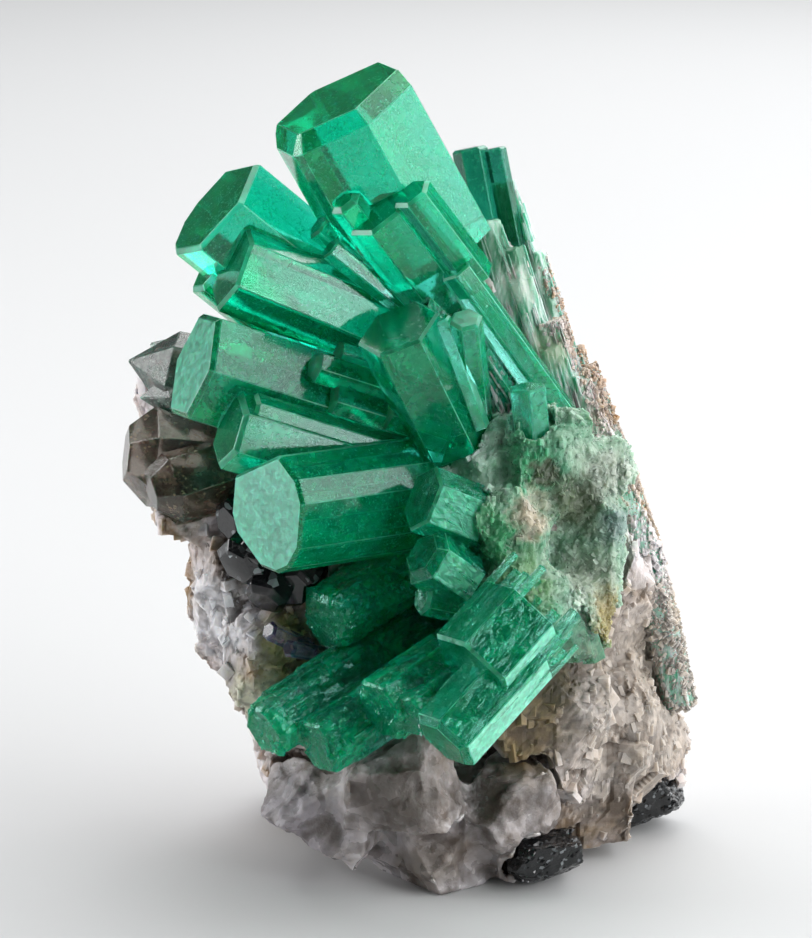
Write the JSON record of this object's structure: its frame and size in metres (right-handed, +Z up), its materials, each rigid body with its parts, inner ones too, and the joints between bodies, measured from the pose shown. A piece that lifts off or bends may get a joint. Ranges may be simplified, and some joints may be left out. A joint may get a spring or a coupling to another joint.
{
  "type": "emerald crystal cluster",
  "caption": "Cluster of six-sided emerald prisms fanning out of a lump of quartz, feldspar and mica rock with a flat underside to stand on.",
  "frame": {"origin": "on the flat underside, straight below the middle of the specimen", "axes": "+Z up, the crystals face -Y, +X to the viewer's right"},
  "size_m": [0.0852, 0.0763, 0.1155],
  "materials": {
    "emerald": "clear to slightly cloudy green beryl, flat prism faces with fine striations along the length",
    "beryl": "pale milky green columnar beryl, silky along the columns",
    "clear_quartz": "clear grey quartz with veils, glossy broken faces",
    "smoky_quartz": "dark smoky quartz, glossy",
    "milky_quartz": "milky quartz and feldspar, waxy and uneven",
    "rock": "rough feldspar, quartz and mica rock, white and tan with pale green stains",
    "schorl": "black tourmaline and mica, shiny striated faces",
    "apatite": "violet-grey translucent crystal"
  },
  "bodies": {
    "root": {"emerald_top": "emerald", "emerald_upper_left": "emerald", "emerald_mid_upper": "emerald", "emerald_mid_lower": "emerald", "emerald_left_small": "emerald", "emerald_centre": "emerald", "emerald_upper_centre": "emerald", "emerald_filler": "emerald", "emerald_middle": "emerald", "emerald_columns": "emerald", "emerald_diagonal": "emerald", "emerald_block": "emerald", "emerald_stubs": "emerald", "emerald_dark": "emerald", "emerald_lower_left": "emerald", "emerald_lower_right": "emerald", "emerald_core": "emerald", "beryl_top_right": "beryl", "beryl_columns": "beryl", "beryl_druse": "beryl", "beryl_pale_small": "beryl", "quartz_clear": "clear_quartz", "quartz_smoky": "smoky_quartz", "quartz_knobs": "milky_quartz", "schorl": "schorl", "apatite_small": "apatite", "mica_right": "schorl", "mica_foot": "schorl", "matrix": "rock"}
  },
  "joints": []
}
